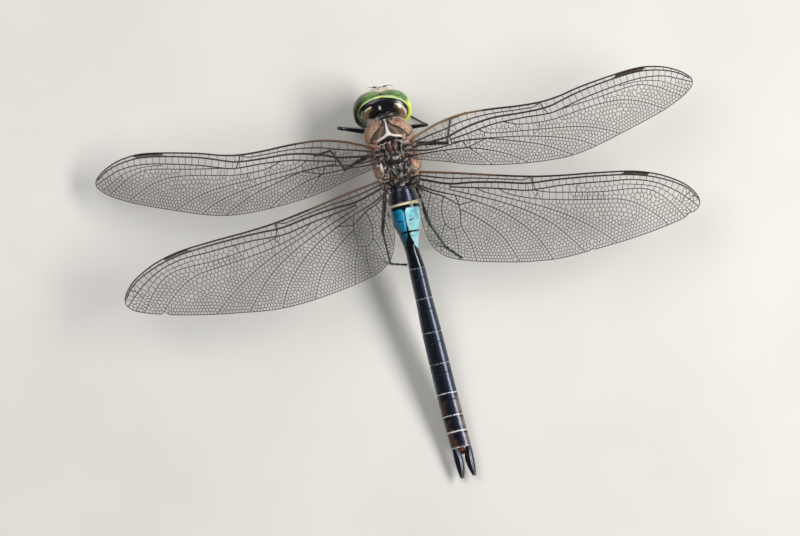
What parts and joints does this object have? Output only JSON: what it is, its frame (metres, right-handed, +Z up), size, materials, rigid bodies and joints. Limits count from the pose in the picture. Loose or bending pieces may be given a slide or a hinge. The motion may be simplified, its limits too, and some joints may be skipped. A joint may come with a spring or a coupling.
{
  "type": "dragonfly",
  "caption": "Life-size model of a male lesser emperor dragonfly at rest, wings spread, head bowed, long straight abdomen, standing on its feet.",
  "frame": {"origin": "middle of the whole animal's footprint, wings included, on the ground plane that its feet stand on", "axes": "+Z up from the ground, +Y towards the head, +X towards the animal's right wings"},
  "size_m": [0.103, 0.0688, 0.0133],
  "materials": {
    "eye": "green compound eye, fine facets, glossy",
    "face": "yellow-olive chitin with a dark brow line",
    "head_shell": "glossy black chitin with tan cheeks",
    "thorax_shell": "brown chitin with fine pale hair and black seams",
    "wing": "clear membrane with dark brown veins",
    "leg_shell": "glossy black chitin with spines",
    "abdomen_blue": "turquoise blue chitin with a black back stripe",
    "abdomen_shell": "black-brown chitin with a blue-grey sheen",
    "clasper": "glossy black chitin"
  },
  "bodies": {
    "root": {"head": "head_shell", "eye_left": "eye", "eye_right": "eye", "frons": "face", "clypeus": "face", "labrum": "face", "antenna_left": "leg_shell", "antenna_right": "leg_shell", "prothorax": "thorax_shell", "mesothorax": "thorax_shell", "metathorax": "thorax_shell", "forewing_left": "wing", "forewing_right": "wing", "hindwing_left": "wing", "hindwing_right": "wing", "coxa_front_left": "leg_shell", "femur_front_left": "leg_shell", "tibia_front_left": "leg_shell", "tarsus_front_left": "leg_shell", "coxa_front_right": "leg_shell", "femur_front_right": "leg_shell", "tibia_front_right": "leg_shell", "tarsus_front_right": "leg_shell", "coxa_middle_left": "leg_shell", "femur_middle_left": "leg_shell", "tibia_middle_left": "leg_shell", "tarsus_middle_left": "leg_shell", "coxa_middle_right": "leg_shell", "femur_middle_right": "leg_shell", "tibia_middle_right": "leg_shell", "tarsus_middle_right": "leg_shell", "coxa_hind_left": "leg_shell", "femur_hind_left": "leg_shell", "tibia_hind_left": "leg_shell", "tarsus_hind_left": "leg_shell", "coxa_hind_right": "leg_shell", "femur_hind_right": "leg_shell", "tibia_hind_right": "leg_shell", "tarsus_hind_right": "leg_shell", "abdomen_1": "abdomen_shell", "abdomen_2": "abdomen_blue", "abdomen_3": "abdomen_blue", "abdomen_4": "abdomen_shell", "abdomen_5": "abdomen_shell", "abdomen_6": "abdomen_shell", "abdomen_7": "abdomen_shell", "abdomen_8": "abdomen_shell", "abdomen_9": "abdomen_shell", "abdomen_10": "abdomen_shell", "cercus_left": "clasper", "cercus_right": "clasper", "epiproct": "clasper"}
  },
  "joints": []
}
